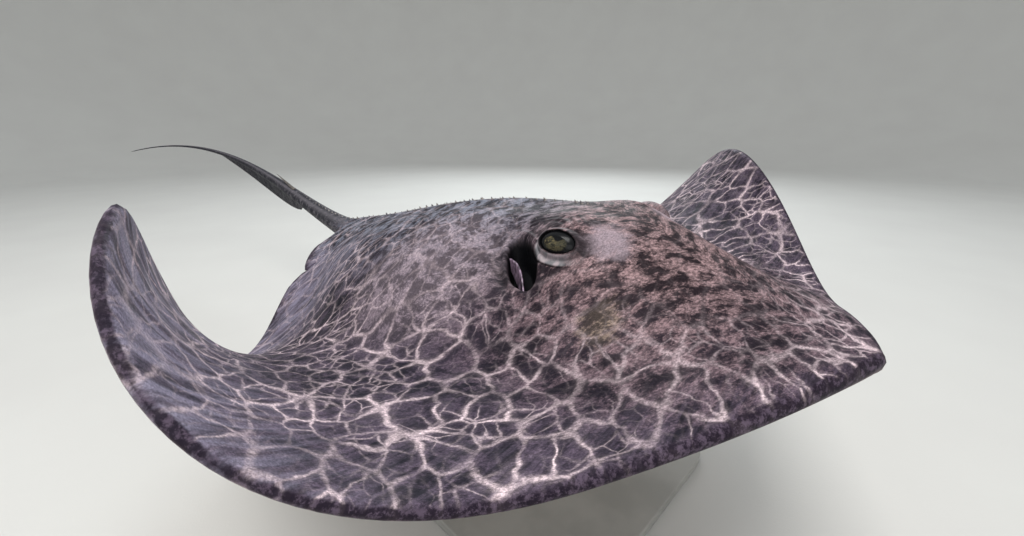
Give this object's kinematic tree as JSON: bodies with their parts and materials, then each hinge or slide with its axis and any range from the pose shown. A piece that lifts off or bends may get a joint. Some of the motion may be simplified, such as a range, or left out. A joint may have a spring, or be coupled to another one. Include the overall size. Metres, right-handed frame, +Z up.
{
  "type": "southern stingray display model",
  "caption": "Life-size swimming stingray with curled wings and a whip tail, held by two rods over a flat base.",
  "frame": {"origin": "centre of the stand base's underside, where it rests on the floor", "axes": "+Z up, the ray faces -Y with its tail towards +Y, and its left side is towards +X"},
  "size_m": [0.9388, 2.3078, 0.4517],
  "materials": {
    "skin": "smooth damp skin, slate mottled with rosy brown above and white below",
    "eye": "wet gold-olive iris with dark marbling and a black rim",
    "sting": "dull bone",
    "stand": "satin warm-grey lacquer"
  },
  "bodies": {
    "root": {"head": "skin", "trunk": "skin", "wing_left": "skin", "wing_right": "skin", "pelvic_fin_left": "skin", "pelvic_fin_right": "skin", "tail_base": "skin", "tail_middle": "skin", "tail_whip": "skin", "sting": "sting", "eye_left": "eye", "eye_right": "eye", "stand_base": "stand", "stand_rod_front": "stand", "stand_rod_rear": "stand"}
  },
  "joints": []
}
